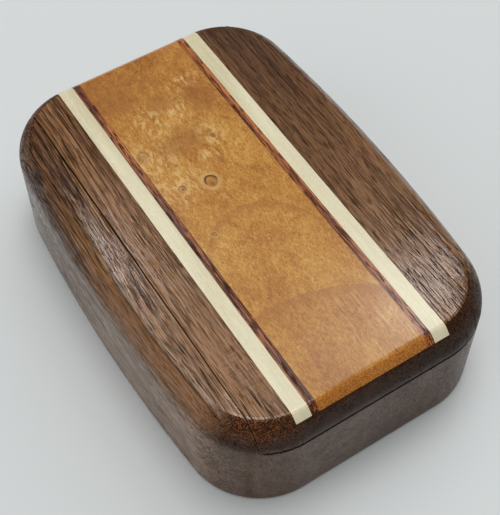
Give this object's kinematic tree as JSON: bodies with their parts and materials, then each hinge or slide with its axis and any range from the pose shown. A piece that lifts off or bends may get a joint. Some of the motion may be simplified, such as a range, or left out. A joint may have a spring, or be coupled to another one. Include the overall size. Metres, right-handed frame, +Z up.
{
  "type": "dice box with hinged lid",
  "caption": "Small flat hardwood box for dice, with rounded edges, a striped wood inlay and a flush lid that swings up on two hidden pins.",
  "frame": {"origin": "centre of the flat underside", "axes": "+Z up; +Y along the grain towards the hinge end; +X to the right, seen from the end that opens"},
  "size_m": [0.063, 0.09, 0.0254],
  "materials": {
    "walnut": "satin lacquer over open-pored walnut",
    "maple": "satin lacquer over pale maple",
    "redwood": "satin lacquer over red-brown veneer",
    "burl": "satin lacquer over figured amber burl",
    "pin": "drawn rod"
  },
  "bodies": {
    "base": {"base_block": "walnut", "left_cheek": "walnut", "right_cheek": "walnut", "hinge_pin_left": "pin", "hinge_pin_right": "pin"},
    "lid": {"lid_panel": "walnut", "inlay_cream_left": "maple", "inlay_red_left": "redwood", "inlay_burl": "burl", "inlay_red_right": "redwood", "inlay_cream_right": "maple"}
  },
  "joints": [
    {"name": "lid_hinge", "type": "hinge", "parent": "base", "child": "lid", "pos_m": [0, 0.0375, 0.02237], "axis": [-1, 0, 0], "range_deg": [0, 100]}
  ]
}
